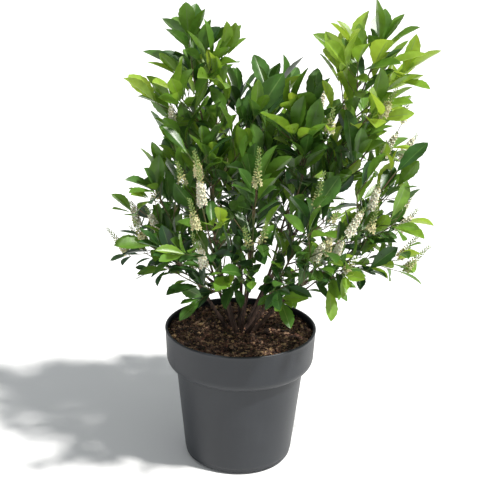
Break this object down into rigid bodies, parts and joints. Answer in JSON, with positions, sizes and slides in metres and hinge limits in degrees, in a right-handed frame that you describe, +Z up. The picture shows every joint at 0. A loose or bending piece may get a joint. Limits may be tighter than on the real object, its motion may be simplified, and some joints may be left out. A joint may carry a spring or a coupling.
{
  "type": "potted hummingbird summersweet",
  "caption": "Dwarf summersweet shrub in a round nursery pot: bare stems and boughs from one root carry leafy masses with upright blossom spikes.",
  "frame": {"origin": "middle of the pot's flat underside", "axes": "+Z up, -Y towards the front, +X to the right seen from the front"},
  "size_m": [0.5242, 0.4569, 0.7409],
  "materials": {
    "pot": "matt moulded slate grey",
    "growing_medium": "loose composted bark chips",
    "bark": "thin brown bark",
    "foliage": "soft green leaves with cream blossom spikes"
  },
  "bodies": {
    "root": {"pot": "pot", "growing_medium": "growing_medium", "stem_tall_left": "bark", "stem_tall_right": "bark", "stem_crown_middle": "bark", "stem_left": "bark", "stem_right": "bark", "stem_front": "bark", "stem_front_left": "bark", "stem_front_right": "bark", "stem_back": "bark", "stem_back_left": "bark", "stem_back_right": "bark", "bough_crown_right": "bark", "bough_crown_left": "bark", "bough_crown_back": "bark", "bough_upper_right": "bark", "bough_low_left": "bark", "bough_foot_left": "bark", "bough_far_right": "bark", "bough_low_right": "bark", "bough_foot_right": "bark", "bough_low_front": "bark", "bough_low_corner": "bark", "bough_low_back": "bark", "bough_low_back_left": "bark", "bough_low_back_right": "bark", "foliage_tall_left": "foliage", "foliage_tall_right": "foliage", "foliage_crown_middle": "foliage", "foliage_left": "foliage", "foliage_right": "foliage", "foliage_front": "foliage", "foliage_front_left": "foliage", "foliage_front_right": "foliage", "foliage_back": "foliage", "foliage_back_left": "foliage", "foliage_back_right": "foliage", "foliage_crown_right": "foliage", "foliage_crown_left": "foliage", "foliage_crown_back": "foliage", "foliage_upper_right": "foliage", "foliage_low_left": "foliage", "foliage_foot_left": "foliage", "foliage_far_right": "foliage", "foliage_low_right": "foliage", "foliage_foot_right": "foliage", "foliage_low_front": "foliage", "foliage_low_corner": "foliage", "foliage_low_back": "foliage", "foliage_low_back_left": "foliage", "foliage_low_back_right": "foliage"}
  },
  "joints": []
}
